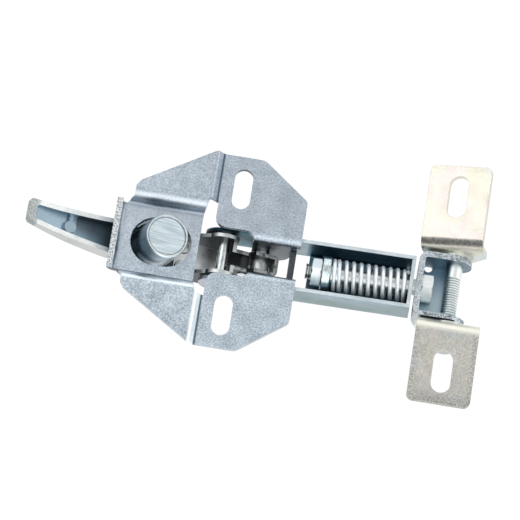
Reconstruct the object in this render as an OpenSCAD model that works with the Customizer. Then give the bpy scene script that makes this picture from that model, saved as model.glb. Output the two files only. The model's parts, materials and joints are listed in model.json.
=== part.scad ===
// Boot lock: a slotted plate carries an over-centre hand lever with a lock barrel.
// The lever draws a spring bar, and the bar pulls two slotted tabs on a swivel bolt.
// Millimetres. X runs along the lock to the tabs, Y across it, Z out of the plate.
// The origin is midway between the wing slots, on the near face of the wings.

/* [Plate] */
// Sheet thickness of the plate
plate_t = 3; // [2.5:0.1:3.4]
// Half of the plate's width across the wings
wing_reach = 49.5; // [47:0.5:54]
// Distance between the centres of the wing slots
wing_slot_spacing = 65.6; // [62:0.2:68]
// Width of a wing slot
wing_slot_w = 9; // [8:0.1:10]
// Length of a wing slot
wing_slot_l = 21; // [16:0.5:23]
// Free gap between the two cheeks
cheek_gap = 16; // [15.6:0.1:17]
// Height of the flanks above the wings
flank_rise = 3.5; // [3:0.1:4.5]
// Depth of the panel below the wings
panel_drop = 3.6; // [3:0.1:3.8]
// Length of the window in the panel
window_l = 30; // [29.5:0.1:31]
// Width of the window in the panel
window_w = 24.6; // [24:0.1:26]

/* [Lever] */
// Slope of the closed hand lever
lever_angle = 17; // [16:0.1:17.5]
// Distance from the main pivot to the toggle pin
crank_l = 19.8; // [19.4:0.1:20.4]
// Sheet thickness of the crank
crank_t = 1.9; // [1.6:0.1:2]
// Distance from the main pivot to the tip of the grip
grip_l = 119.8; // [114:0.2:128]
// Width of the grip at its tip
grip_tip_w = 11.6; // [10:0.2:13]
// Wall thickness of the grip
grip_wall = 2.3; // [2:0.1:2.5]
// Floor thickness of the grip
grip_floor = 2.5; // [2:0.1:2.8]
// Diameter of the lock barrel
barrel_d = 22; // [20:0.1:22.4]
// Diameter of the main pivot pin
main_pin_d = 6.4; // [6:0.1:6.8]
// Diameter of the toggle pin
toggle_pin_d = 5.4; // [5:0.1:6.4]

/* [Spring bar] */
// Sheet thickness of the spring channel
channel_t = 1.8; // [1.5:0.1:2.2]
// Slope of the spring channel
channel_tilt = 2.5; // [1.5:0.1:2.6]
// Length of the spring
spring_l = 38.6; // [36:0.2:44]
// Outer diameter of the spring
spring_d = 16.4; // [15.4:0.1:17.4]
// Wire diameter of the spring
wire_d = 1.9; // [1.6:0.1:2.1]
// Turns of the spring, its closed ends included
turns = 11; // [9:1:11]

/* [Tabs] */
// Sheet thickness of the yoke and the tabs
tab_t = 3; // [2.5:0.1:3.4]
// Inner width of the yoke
yoke_gap = 28; // [27:0.2:31]
// Width of a tab
tab_w = 31; // [29:0.5:36]
// Distance from the middle of the lock to the end of a tab
tab_reach = 61.3; // [60:0.5:68]
// Distance from the end of a tab to the centre of its slot
tab_slot_in = 16.3; // [15:0.1:18]
// Width of a tab slot
tab_slot_w = 9.6; // [8.4:0.1:10.6]
// Length of a tab slot
tab_slot_l = 21.8; // [16:0.2:23]
// Height of a tab's face above the swivel bolt
tab_rise = 14.3; // [14:0.1:16]
// Turn of the upper tab on the swivel bolt
upper_tab_turn = 17; // [0:1:30]

/* [Hidden] */
$fn = 56;
eps = 0.01;
run = 0.06;
seat = 0.02;

// Standard eight millimetre hardware
m8_r = 4;
m8_flats = 13;
m8_head = 5.4;
m8_pitch = 1.25;
hex_turn = 103;

// Plate
wing_x0 = -10.6;
wing_x1 = 32.8;
wing_inner = 12;
wing_cut_x = 9;
wing_cut_y = 18;
bend_in = 1;
bend_out = bend_in + plate_t;
cheek_in = cheek_gap / 2;
cheek_out = cheek_in + plate_t;
cheek_bend = cheek_in + bend_out;
cheek_fill_in = min(cheek_bend, wing_inner) - eps;
cheek_fill_out = max(cheek_bend, wing_inner) + eps;
cheek_x0 = 9.2;
cheek_x1 = 28.3;
cheek_edge = cheek_x0 + 0.4;
cheek_fillet = 4.6;
cheek_foot = -27.5;
cheek_round = 10;
stop_wall_top = -7;
stop_wall_foot = -21;
joggle_x0 = wing_x0 - 4.4;
joggle_steps = 16;
flank_x0 = -51.6;
flank_cut_y = 25;
panel_z = -panel_drop;
step_y = 18.6;
flank_bend_in = 2.2;
flank_bend_out = flank_bend_in + plate_t;
panel_bend_in = min(1.8, flank_rise + panel_drop - flank_bend_out - 0.1);
panel_bend_out = panel_bend_in + plate_t;
panel_y = step_y - panel_bend_in;
flank_y = step_y + flank_bend_out;
panel_x1 = -16.8;
lip_bend = 1.8;
lip_x = -54.8;
lip_top = 2.6;
lip_y = 17.5;
window_x = -35.3;

// Main pivot and lever, in the lever's own frame
pivot_x = 14.3;
pivot_z = -19;
main_pin_r = main_pin_d / 2;
toggle_x = pivot_x - crank_l * cos(lever_angle);
toggle_z = pivot_z + crank_l * sin(lever_angle);
toggle_r = toggle_pin_d / 2;
neck_out = cheek_in - 2.7;
neck_in = neck_out - crank_t;
neck_top = 8.6;
neck_foot = -6.6;
bush_r = main_pin_r + 1.4;
neck_end = bush_r + 0.3 + crank_t;
crank_out = cheek_out - 0.6;
crank_in = crank_out - crank_t;
shoulder_u = -14.2;
shoulder_top = 4;
tongue_u = 0;
ear_r = 8.5;
grip_top = -9;
grip_foot = -18.1;
crank_foot = grip_foot + grip_floor;
crank_end = -40;
stop_u = -8.3;
stop_r = 1.6;
stop_head_r = 2.4;
rivet_u = -36.3;
rivet_y = 5;
rivet_r = 2;
grip_end = -31.8;
grip_bend_u = -71;
grip_top_r = 150;
grip_foot_u = -68.8;
grip_foot_r = 102;
grip_mid_u = -74.8;
grip_mid_y = 8.9;
grip_rear_y = crank_out + 0.1 + grip_wall;
tip_wall = 4.3;
tip_cut = 1.2;
barrel_u = -52.5;
barrel_r = barrel_d / 2;
barrel_top = 11.6;
boss_r = barrel_r + 1.2 + grip_wall;
collar_r = barrel_r + 2.4;
collar_t = 2;
cap_r = barrel_r - 1.2;
cap_seat = barrel_top - 1.2;
plug_r = 6.5;
plug_top = 3.6;
rib_u = -95.8;
rib_t = 2;
rib_top = -10;
rib_boss_r = 3;
rib_boss_y = -1;
clip_t = 1;
clip_groove = 0.5;

// Spring bar, along the channel from the toggle pin
channel_in = cheek_out + 0.65;
channel_out = channel_in + channel_t;
channel_top = 8;
seat_r = 9.3;
web_in = -seat_r - 0.6;
channel_foot = web_in - channel_t;
web_x = 42.7;
nut_x = 44.8;
nut_t = 4.8;
seat_x = nut_x + nut_t;
seat_t = 4.8;
spring_x = seat_x + seat_t;
closed_pitch = wire_d * 1.08;
open_pitch = (spring_l - wire_d - 2 * closed_pitch) / (turns - 2);
wall_x = spring_x + spring_l;
channel_end = wall_x + channel_t;
rod_x = nut_x - 3;
yoke_x = channel_end + 1.5;
head_x = yoke_x + tab_t;
yoke_in = yoke_gap / 2;
yoke_out = yoke_in + tab_t;
yoke_top = 8.2;
yoke_floor = -8.3;
yoke_foot = yoke_floor - tab_t;
yoke_round = (yoke_top - yoke_foot) / 2;
swivel_x = head_x + m8_head + 9.4;
swivel_wx = toggle_x + swivel_x * cos(channel_tilt);
swivel_wz = toggle_z + swivel_x * sin(channel_tilt);

// Swivel bolt stack, outwards from the yoke
spacer_t = 1.3;
nut_h = 6.5;
washer_t = 1.6;
washer_r = 7.9;
flange_in = yoke_out + spacer_t;
flange_out = flange_in + tab_t;
stack_out = flange_out + washer_t;
tab_bend_in = 3;
tab_bend_out = tab_bend_in + tab_t;
tab_flat_y = flange_in + tab_bend_out;
tab_corner = 3;
flange_r = 9.6;

zinc = [0.76, 0.79, 0.83];
bright = [0.82, 0.86, 0.88];
warm_zinc = [0.80, 0.77, 0.70];
cast = [0.66, 0.68, 0.69];
gunmetal = [0.20, 0.21, 0.22];
rubber = [0.06, 0.06, 0.07];
teal_zinc = [0.60, 0.68, 0.70];

// Frames of the moving groups
module in_lever() {
  translate([pivot_x, 0, pivot_z])
    rotate([0, lever_angle, 0])
      children();
}

module in_channel() {
  translate([toggle_x, 0, toggle_z])
    rotate([0, -channel_tilt, 0])
      children();
}

module at_tab(turn) {
  translate([swivel_wx, 0, swivel_wz])
    rotate([0, -turn, 0])
      children();
}

// Shapes that repeat
module along_x(x0, x1) {
  translate([x0, 0, 0])
    rotate([90, 0, 90])
      linear_extrude(x1 - x0)
        children();
}

module along_y(y0, y1) {
  translate([0, y1, 0])
    rotate([90, 0, 0])
      linear_extrude(y1 - y0)
        children();
}

module up(z0, z1) {
  translate([0, 0, z0])
    linear_extrude(z1 - z0)
      children();
}

module both_sides() {
  children();
  mirror([0, 1, 0])
    children();
}

module box2(x0, x1, y0, y1) {
  translate([x0, y0])
    square([x1 - x0, y1 - y0]);
}

module disc2(x, y, r) {
  translate([x, y])
    circle(r);
}

module round2(x0, x1, y0, y1, r) {
  box2(x0 + r, x1 - r, y0, y1);
  box2(x0, x1, y0 + r, y1 - r);
  for (x = [x0 + r, x1 - r], y = [y0 + r, y1 - r])
    disc2(x, y, r);
}

// A quarter of a ring: sx and sy say which quarter of it stays
module bend2(x, y, r_in, r_out, sx, sy) {
  translate([x, y])
    intersection() {
      difference() {
        circle(r_out);
        if (r_in > 0)
          circle(r_in);
      }
      box2(min(0, sx * r_out), max(0, sx * r_out), min(0, sy * r_out), max(0, sy * r_out));
    }
}

module slot2(l, w) {
  box2(-w / 2, w / 2, -(l - w) / 2, (l - w) / 2);
  for (s = [-1, 1])
    disc2(0, s * (l - w) / 2, w / 2);
}

module pin_y(x, z, r, y0, y1) {
  along_y(y0, y1)
    disc2(x, z, r);
}

module ring_y(x, z, r_in, r_out, y0, y1) {
  along_y(y0, y1)
    difference() {
      disc2(x, z, r_out);
      disc2(x, z, r_in);
    }
}

// A hexagon across its flats, with a corner along the second axis
module hex2(flats) {
  rotate(30)
    circle(flats / sqrt(3), $fn = 6);
}

// A hexagon of height h, its corners turned down at both ends
module hex_block(h) {
  corner = m8_flats / sqrt(3);
  intersection() {
    linear_extrude(h)
      hex2(m8_flats);
    rotate_extrude()
      polygon([[0, 0], [corner - 0.8, 0], [corner, 0.5], [corner, h - 0.5], [corner - 0.8, h], [0, h]]);
  }
}

// A threaded length from z0 to z1, cut into a rod of radius m8_r
module thread(z0, z1) {
  depth = 0.6;
  count = floor((z1 - z0) / m8_pitch);
  rotate_extrude($fn = 36)
    for (i = [0 : count - 1])
      let (z = z0 + i * m8_pitch)
        polygon([[m8_r + 0.1, z], [m8_r - depth, z + m8_pitch / 2], [m8_r + 0.1, z + m8_pitch]]);
}

// Points of a rounded corner at p, on the way from a to b
function rounded(a, p, b, r, n = 8) =
  let (
    to_a = (a - p) / norm(a - p),
    to_b = (b - p) / norm(b - p),
    half = acos(to_a * to_b) / 2,
    centre = p + (to_a + to_b) / norm(to_a + to_b) * r / sin(half),
    first = p + to_a * r / tan(half) - centre,
    sweep = (180 - 2 * half) * sign(cross(to_b, to_a))
  )
  [for (i = [0 : n]) let (t = sweep * i / n)
    centre + [first[0] * cos(t) - first[1] * sin(t), first[0] * sin(t) + first[1] * cos(t)]];

// Plate
module wing_plan() {
  corner = 5;
  foot = [wing_x1, wing_inner];
  low = [wing_x1, wing_reach - wing_cut_y];
  high = [wing_cut_x, wing_reach];
  end = [wing_x0, wing_reach];
  difference() {
    union() {
      polygon(concat(
        [[wing_x0, wing_inner + corner], [wing_x0 + corner, wing_inner + corner]],
        [[wing_x0 + corner, wing_inner], foot],
        rounded(foot, low, high, 3), rounded(low, high, end, 6), [end]
      ));
      disc2(wing_x0 + corner, wing_inner + corner, corner);
    }
    translate([0, wing_slot_spacing / 2])
      slot2(wing_slot_l, wing_slot_w);
  }
}

// The stepped section of panel and flank, across the plate
module flank_section() {
  box2(-panel_y, panel_y, panel_z - plate_t, panel_z);
  for (s = [-1, 1])
    scale([s, 1]) {
      bend2(panel_y, panel_z + panel_bend_in, panel_bend_in, panel_bend_out, 1, -1);
      box2(step_y, step_y + plate_t, panel_z + panel_bend_in - eps, flank_rise - flank_bend_out + eps);
      bend2(flank_y, flank_rise - flank_bend_out, flank_bend_in, flank_bend_out, -1, 1);
      box2(flank_y - eps, wing_reach, flank_rise - plate_t, flank_rise);
    }
}

module flank_plan() {
  for (s = [-1, 1])
    scale([1, s])
      polygon([
        [lip_x, -eps], [lip_x, lip_y], [flank_x0, lip_y + 2.5], [flank_x0, flank_cut_y],
        [flank_x0 + 2.1, flank_cut_y + 3],
        [joggle_x0, wing_reach], [joggle_x0, flank_y + 0.8], [panel_x1, step_y - 0.6], [panel_x1, -eps]
      ]);
}

module cheek_side() {
  intersection() {
    union() {
      box2(cheek_x0, cheek_x1, pivot_z, -bend_out + eps);
      disc2(pivot_x, pivot_z, pivot_z - cheek_foot);
      box2(pivot_x, cheek_x1 - cheek_round, cheek_foot, pivot_z);
      disc2(cheek_x1 - cheek_round, cheek_foot + cheek_round, cheek_round);
    }
    box2(cheek_x0, cheek_x1, cheek_foot, 0);
  }
}

// The rounded inner corner between a wing's edge and its cheek
module cheek_corner() {
  translate([0, eps, 0])
    difference() {
      along_x(cheek_edge - cheek_fillet, cheek_edge + eps)
        bend2(cheek_bend, -bend_out, bend_in, bend_out, -1, 1);
      translate([cheek_edge - cheek_fillet, cheek_bend - cheek_fillet, -2 * bend_out])
        cylinder(r = cheek_fillet, h = 3 * bend_out);
    }
}

// The smooth step from a flank down to its wing
function joggle_z(t) = flank_rise * (1 + cos(180 * t)) / 2;

module joggle_side() {
  x0 = joggle_x0 - eps;
  run_x = wing_x0 - joggle_x0 + 2 * eps;
  over = [for (i = [0 : joggle_steps]) let (t = i / joggle_steps) [x0 + run_x * t, joggle_z(t)]];
  under = [for (i = [joggle_steps : -1 : 0]) [over[i][0], over[i][1] - plate_t]];
  polygon(concat(over, under));
}

module stop_wall_plan() {
  box2(cheek_x1 - eps, cheek_x1 + plate_t, -cheek_in, cheek_in);
  for (s = [-1, 1])
    bend2(cheek_x1 - eps, s * cheek_in, 0, plate_t, 1, s);
}

module mounting_plate() {
  color(zinc)
    difference() {
      union() {
        both_sides() {
          up(-plate_t, 0)
            wing_plan();
          along_x(cheek_edge, wing_x1)
            bend2(cheek_bend, -bend_out, bend_in, bend_out, -1, 1);
          cheek_corner();
          up(-plate_t, 0)
            box2(cheek_edge, wing_x1, cheek_fill_in, cheek_fill_out);
          along_y(cheek_in, cheek_out)
            cheek_side();
          along_y(flank_y + 0.8, wing_reach)
            joggle_side();
        }
        up(stop_wall_foot, stop_wall_top)
          stop_wall_plan();
        intersection() {
          along_x(lip_x - 1, 0)
            flank_section();
          up(panel_z - plate_t - 1, flank_rise + 1)
            flank_plan();
        }
        along_y(-lip_y, lip_y) {
          bend2(lip_x + eps, panel_z + lip_bend, lip_bend, lip_bend + plate_t, -1, -1);
          box2(lip_x - lip_bend - plate_t, lip_x - lip_bend, panel_z + lip_bend - eps, lip_top);
        }
      }
      translate([window_x, 0, panel_z - plate_t - 1])
        linear_extrude(plate_t + 2)
          rotate(90)
            slot2(window_l, window_w);
      pin_y(pivot_x, pivot_z, main_pin_r + seat, -cheek_out - 1, cheek_out + 1);
    }
}

module main_pivot_pin() {
  head_t = 0.4;
  color(bright) {
    pin_y(pivot_x, pivot_z, main_pin_r, -cheek_out - eps, cheek_out + eps);
    for (s = [-1, 1])
      pin_y(pivot_x, pivot_z, main_pin_r + 1, min(s * cheek_out, s * (cheek_out + head_t)),
            max(s * cheek_out, s * (cheek_out + head_t)));
  }
}

// Lever
module crank_side() {
  disc2(-crank_l, 0, ear_r);
  polygon([
    [shoulder_u, crank_foot], [shoulder_u, shoulder_top], [-crank_l + 3, 6], [-crank_l - 3, ear_r - 0.6],
    [-crank_l - 15.5, -5], [crank_end, -9.5], [crank_end, crank_foot]
  ]);
}

module neck_plan() {
  corner = 2.6;
  box2(shoulder_u - crank_t, neck_end - corner, -neck_out, neck_out);
  box2(shoulder_u, neck_end, -neck_out + corner, neck_out - corner);
  for (s = [-1, 1])
    disc2(neck_end - corner, s * (neck_out - corner), corner);
}

// Side of the neck: high around the pivot, lower towards the shoulders
module neck_side() {
  step_u = -5.2;
  polygon([
    [shoulder_u - crank_t, crank_foot], [tongue_u - 5, crank_foot], [tongue_u - 1, neck_foot],
    [neck_end, neck_foot], [neck_end, neck_top],
    [step_u, neck_top], [step_u - 2.4, shoulder_top], [shoulder_u - crank_t, shoulder_top]
  ]);
}

module crank_lever() {
  color(gunmetal)
    in_lever()
      difference() {
        union() {
          both_sides() {
            along_y(crank_in, crank_out)
              intersection() {
                crank_side();
                box2(crank_end, shoulder_u, crank_foot, ear_r);
              }
            up(crank_foot, shoulder_top)
              box2(shoulder_u - crank_t, shoulder_u, neck_in, crank_out);
          }
          up(crank_foot, crank_foot + crank_t)
            box2(crank_end, shoulder_u, -crank_out, crank_out);
          up(crank_foot, crank_foot + crank_t)
            box2(shoulder_u - 1, tongue_u, -neck_out, neck_out);
          intersection() {
            up(crank_foot, neck_top)
              difference() {
                neck_plan();
                box2(shoulder_u - crank_t - 1, neck_end - crank_t, -neck_in, neck_in);
              }
            along_y(-neck_out - 1, neck_out + 1)
              neck_side();
          }
        }
        pin_y(0, 0, main_pin_r + run, -cheek_out, cheek_out);
        pin_y(-crank_l, 0, toggle_r + seat, -crank_out - 1, crank_out + 1);
        pin_y(stop_u, 0, stop_r + seat, -crank_out - 1, crank_out + 1);
        for (s = [-1, 1])
          translate([rivet_u, s * rivet_y, crank_foot - 1])
            cylinder(r = rivet_r + seat, h = crank_t + 2);
      }
}

module pivot_bush() {
  color(bright)
    in_lever()
      ring_y(0, 0, main_pin_r + run, bush_r, -neck_in, neck_in);
}

module pivot_spacer(side) {
  y0 = neck_out;
  y1 = cheek_in - 0.06;
  color(bright)
    in_lever()
      ring_y(0, 0, main_pin_r + run, bush_r, min(side * y0, side * y1), max(side * y0, side * y1));
}

module pivot_spacer_upper() {
  pivot_spacer(1);
}

module pivot_spacer_lower() {
  pivot_spacer(-1);
}

module stop_rivet() {
  head_t = 0.45;
  color(bright)
    in_lever() {
      pin_y(stop_u, 0, stop_r, -neck_out - eps, neck_out + eps);
      pin_y(stop_u, 0, stop_head_r, neck_out, neck_out + head_t);
      pin_y(stop_u, 0, stop_head_r, -neck_out - head_t, -neck_out);
    }
}

module stop_sleeve() {
  color(rubber)
    in_lever()
      ring_y(stop_u, 0, stop_r + seat, stop_r + 0.9, -neck_in, neck_in);
}

module toggle_pin() {
  clip_y = channel_out + 0.05;
  color(bright)
    in_lever()
      difference() {
        union() {
          pin_y(-crank_l, 0, toggle_r, -clip_y - clip_t - 0.9, clip_y + eps);
          pin_y(-crank_l, 0, toggle_r + 1.6, clip_y, clip_y + 1.8);
        }
        ring_y(-crank_l, 0, toggle_r - clip_groove, toggle_r + 1, -clip_y - clip_t, -clip_y);
      }
}

module toggle_clip() {
  clip_y = channel_out + 0.05;
  inner = toggle_r - clip_groove + seat;
  color(gunmetal)
    in_lever()
      along_y(-clip_y - clip_t, -clip_y)
        difference() {
          disc2(-crank_l, 0, toggle_r + 1.8);
          disc2(-crank_l, 0, inner);
          box2(-crank_l - inner * 0.7, -crank_l + inner * 0.7, -toggle_r - 3, 0);
        }
}

module toggle_washer(side) {
  y0 = crank_out;
  y1 = channel_in - 0.05;
  color(bright)
    in_lever()
      ring_y(-crank_l, 0, toggle_r + seat, toggle_r + 2.6,
             min(side * y0, side * y1), max(side * y0, side * y1));
}

module toggle_washer_upper() {
  toggle_washer(1);
}

module toggle_washer_lower() {
  toggle_washer(-1);
}

// Plan of the grip, drawn in by a margin at the sides and by another at the tip
module grip_plan(side, tip) {
  half_tip = grip_tip_w / 2 - side;
  mid = grip_mid_y - side;
  flare = (grip_mid_y - grip_tip_w / 2) / (grip_l + grip_mid_u);
  rear = mid + flare * (grip_mid_u - barrel_u) * -1;
  polygon([
    [-grip_l + tip, -half_tip + tip_cut], [-grip_l + tip + tip_cut, -half_tip],
    [grip_mid_u, -mid], [barrel_u, -rear], [barrel_u, rear], [grip_mid_u, mid],
    [-grip_l + tip + tip_cut, half_tip], [-grip_l + tip, half_tip - tip_cut]
  ]);
  disc2(barrel_u, 0, boss_r - side);
  box2(barrel_u, grip_end + (side > 0 ? 1 : 0), -grip_rear_y + side, grip_rear_y - side);
}

// Side of the grip between its floor, raised by a margin, and its curved rim
module grip_side(floor_t) {
  intersection() {
    union() {
      box2(-grip_l - 1, grip_end + 1, grip_foot - 1, grip_top);
      difference() {
        box2(-grip_l - 1, grip_bend_u, grip_foot, grip_top + 10);
        translate([grip_bend_u, grip_top + grip_top_r])
          circle(grip_top_r, $fn = 360);
      }
    }
    union() {
      box2(grip_foot_u, grip_end + 1, grip_foot + floor_t, grip_top + 10);
      intersection() {
        box2(-grip_l - 1, grip_foot_u + eps, grip_foot, grip_top + 10);
        translate([grip_foot_u, grip_foot + grip_foot_r])
          circle(grip_foot_r - floor_t, $fn = 360);
      }
    }
  }
}

module handle_grip() {
  color(cast)
    in_lever()
      difference() {
        union() {
          difference() {
            intersection() {
              up(grip_foot - 1, grip_top + 20)
                grip_plan(0, 0);
              along_y(-boss_r - 1, boss_r + 1)
                grip_side(0);
            }
            intersection() {
              up(grip_foot - 1, grip_top + 20)
                grip_plan(grip_wall, tip_wall);
              along_y(-boss_r - 1, boss_r + 1)
                union() {
                  grip_side(grip_floor);
                  translate([0, 1])
                    grip_side(grip_floor);
                }
            }
          }
          intersection() {
            up(grip_foot, grip_top + 20)
              grip_plan(grip_wall / 2, tip_wall / 2);
            along_y(-boss_r, boss_r)
              grip_side(grip_floor / 2);
            union() {
              up(grip_foot, rib_top)
                box2(rib_u - rib_t / 2, rib_u + rib_t / 2, -boss_r, boss_r);
              up(grip_foot, rib_top + 0.6)
                disc2(rib_u, rib_boss_y, rib_boss_r);
            }
          }
        }
        translate([barrel_u, 0, grip_foot - 1])
          cylinder(r = barrel_r + 0.05, h = grip_floor + 2);
        for (s = [-1, 1])
          translate([rivet_u, s * rivet_y, grip_foot - 1])
            cylinder(r = rivet_r + seat, h = grip_floor + 2);
      }
}

module handle_rivet(side) {
  head = 1.3;
  z0 = grip_foot;
  z1 = crank_foot + crank_t;
  color(bright)
    in_lever()
      translate([rivet_u, side * rivet_y, 0])
        rotate_extrude()
          polygon([
            [0, z0 - head * 0.8], [rivet_r + 0.8, z0 - head * 0.8], [rivet_r + head, z0], [rivet_r, z0],
            [rivet_r, z1], [rivet_r + head, z1], [rivet_r + 0.8, z1 + head * 0.8], [0, z1 + head * 0.8]
          ]);
}

module handle_rivet_upper() {
  handle_rivet(1);
}

module handle_rivet_lower() {
  handle_rivet(-1);
}

module lock_barrel() {
  foot = grip_foot - collar_t;
  color(bright)
    in_lever()
      translate([barrel_u, 0, 0])
        rotate_extrude()
          polygon([
            [plug_r + run, foot], [collar_r - 0.5, foot], [collar_r, foot + 0.5], [collar_r, grip_foot],
            [barrel_r, grip_foot], [barrel_r, barrel_top - 0.6], [barrel_r - 0.6, barrel_top],
            [cap_r + seat, barrel_top], [cap_r + seat, cap_seat], [0, cap_seat], [0, plug_top + 0.4],
            [plug_r + run, plug_top + 0.4]
          ]);
}

module lock_ring() {
  color(bright)
    in_lever()
      translate([barrel_u, 0, crank_foot])
        rotate_extrude()
          polygon([[barrel_r + 0.05, 0], [barrel_r + 1, 0], [barrel_r + 1, 1.8], [barrel_r + 0.05, 1.8]]);
}

module lock_cap() {
  color(bright)
    in_lever()
      translate([barrel_u, 0, cap_seat])
        cylinder(r = cap_r, h = 0.8);
}

module lock_plug() {
  foot = grip_foot - collar_t + 0.3;
  color(cast)
    in_lever()
      translate([barrel_u, 0, 0])
        difference() {
          up(foot, plug_top)
            circle(plug_r);
          translate([-3.8, -0.8, foot - 1])
            cube([7.6, 1.6, 9]);
        }
}

// Spring bar
module channel_section() {
  corner = 3;
  difference() {
    round2(-channel_out, channel_out, channel_foot, channel_top + corner + 1, corner);
    round2(-channel_in, channel_in, web_in, channel_top + corner + 2, corner - channel_t);
    box2(-channel_out - 1, channel_out + 1, channel_top, channel_top + 10);
  }
}

module channel_side() {
  half = (channel_top - channel_foot) / 2;
  corner = 3.6;
  disc2(0, channel_top - half, half);
  box2(0, channel_end - corner, channel_foot, channel_top);
  box2(0, channel_end, channel_foot + corner, channel_top);
  disc2(channel_end - corner, channel_foot + corner, corner);
}

module spring_channel() {
  relief_r = 1;
  color(teal_zinc)
    in_channel()
      difference() {
        intersection() {
          union() {
            along_x(-15, channel_end)
              channel_section();
            along_x(wall_x, channel_end)
              round2(-channel_in - eps, channel_in + eps, web_in - eps, channel_top, 0.5);
          }
          along_y(-channel_out - 1, channel_out + 1)
            channel_side();
        }
        translate([-20, -channel_in, channel_foot - 1])
          cube([web_x + 20, 2 * channel_in, -channel_foot - 6]);
        pin_y(0, 0, toggle_r + run, -channel_out - 1, channel_out + 1);
        translate([wall_x - 1, 0, 0])
          rotate([0, 90, 0])
            cylinder(r = m8_r + 0.4, h = channel_t + 2);
        for (s = [-1, 1])
          translate([wall_x - 1.2, s * (channel_in - 1.2), channel_foot - 1])
            cylinder(r = relief_r, h = channel_t + 2);
      }
}

module pull_bolt() {
  color(bright)
    in_channel()
      rotate([0, 90, 0]) {
        difference() {
          translate([0, 0, rod_x])
            cylinder(r = m8_r, h = head_x - rod_x + eps);
          thread(rod_x, seat_x);
        }
        translate([0, 0, head_x])
          rotate(hex_turn)
            hex_block(m8_head);
      }
}

module adjusting_nut() {
  color(warm_zinc)
    in_channel()
      translate([nut_x, 0, 0])
        rotate([0, 90, 0])
          difference() {
            rotate(hex_turn)
              hex_block(nut_t);
            translate([0, 0, -1])
              cylinder(r = m8_r + 0.04, h = nut_t + 2);
          }
}

module spring_seat() {
  spigot_l = 3.5;
  spigot_r = spring_d / 2 - wire_d - 0.5;
  color(bright)
    in_channel()
      translate([seat_x, 0, 0])
        rotate([0, 90, 0])
          rotate_extrude()
            polygon([
              [m8_r + 0.2, 0], [seat_r - 0.6, 0], [seat_r, 0.6],
              [seat_r, seat_t - 0.6], [seat_r - 0.6, seat_t],
              [spigot_r, seat_t], [spigot_r, seat_t + spigot_l], [m8_r + 0.2, seat_t + spigot_l]
            ]);
}

// Place along the spring after t turns: the first and last turns lie closed
function coil_x(t) =
  wire_d / 2 + closed_pitch * min(t, 1) + open_pitch * max(0, min(t - 1, turns - 2))
  + closed_pitch * max(0, t - turns + 1);

module compression_spring() {
  per_turn = 24;
  sides = 8;
  mid_r = (spring_d - wire_d) / 2;
  steps = turns * per_turn;
  points = [
    for (i = [0 : steps])
      let (t = i / per_turn, a = 360 * t)
        for (j = [0 : sides - 1])
          let (b = 360 * j / sides, r = mid_r + wire_d / 2 * sin(b))
            [coil_x(t) + wire_d / 2 * cos(b), r * cos(a), r * sin(a)]
  ];
  walls = [
    for (i = [0 : steps - 1], j = [0 : sides - 1])
      let (k = (j + 1) % sides)
        [i * sides + j, (i + 1) * sides + j, (i + 1) * sides + k, i * sides + k]
  ];
  first = [for (j = [0 : sides - 1]) j];
  last = [for (j = [sides - 1 : -1 : 0]) steps * sides + j];
  color(bright)
    in_channel()
      translate([spring_x, 0, 0])
        polyhedron(points, concat(walls, [first, last]));
}

// Yoke and tabs
module yoke_plan() {
  corner = tab_t + 2;
  far = swivel_x + 20;
  difference() {
    round2(yoke_x, far, -yoke_out, yoke_out, corner);
    round2(head_x, far + 1, -yoke_in, yoke_in, 1);
    box2(far - corner - 1, far + 2, -yoke_out - 1, yoke_out + 1);
  }
}

module yoke_side() {
  box2(yoke_x, swivel_x - 1.4, yoke_foot, yoke_top);
  disc2(swivel_x - 1.4, yoke_top - yoke_round, yoke_round);
}

module yoke() {
  relief_r = 2;
  color(zinc)
    in_channel()
      difference() {
        union() {
          intersection() {
            up(yoke_foot, yoke_top)
              yoke_plan();
            along_y(-yoke_out - 1, yoke_out + 1)
              yoke_side();
          }
          up(yoke_foot, yoke_floor)
            box2(yoke_x + 1, swivel_x - 2.2, -yoke_in - eps, yoke_in + eps);
        }
        translate([yoke_x - 1, 0, 0])
          rotate([0, 90, 0])
            cylinder(r = m8_r + 0.25, h = tab_t + 2);
        pin_y(swivel_x, 0, m8_r + 0.25, -yoke_out - 1, yoke_out + 1);
        for (s = [-1, 1])
          translate([head_x + 2.2, s * (yoke_in - 0.5), yoke_foot - 1])
            cylinder(r = relief_r, h = tab_t + 1.4);
      }
}

module swivel_bolt() {
  shank = 7;
  end_y = stack_out + nut_h + 1.5;
  color(bright)
    in_channel()
      translate([swivel_x, 0, 0])
        rotate([90, 0, 0]) {
          difference() {
            translate([0, 0, -stack_out - 1])
              cylinder(r = m8_r, h = stack_out + end_y + 1);
            thread(-shank, yoke_in - 0.2);
          }
          translate([0, 0, -stack_out - m8_head])
            hex_block(m8_head);
        }
}

module swivel_nut() {
  color(warm_zinc)
    in_channel()
      translate([swivel_x, -stack_out, 0])
        rotate([90, 0, 0])
          difference() {
            hex_block(nut_h);
            translate([0, 0, -1])
              cylinder(r = m8_r + 0.04, h = nut_h + 2);
          }
}

module swivel_ring(y0, y1) {
  color(bright)
    in_channel()
      ring_y(swivel_x, 0, m8_r + 0.2, washer_r, y0, y1);
}

module head_washer() {
  swivel_ring(flange_out, stack_out);
}

module nut_washer() {
  swivel_ring(-stack_out, -flange_out);
}

module spacer_washer_upper() {
  swivel_ring(yoke_out, flange_in);
}

module spacer_washer_lower() {
  swivel_ring(-flange_in, -yoke_out);
}

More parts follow.
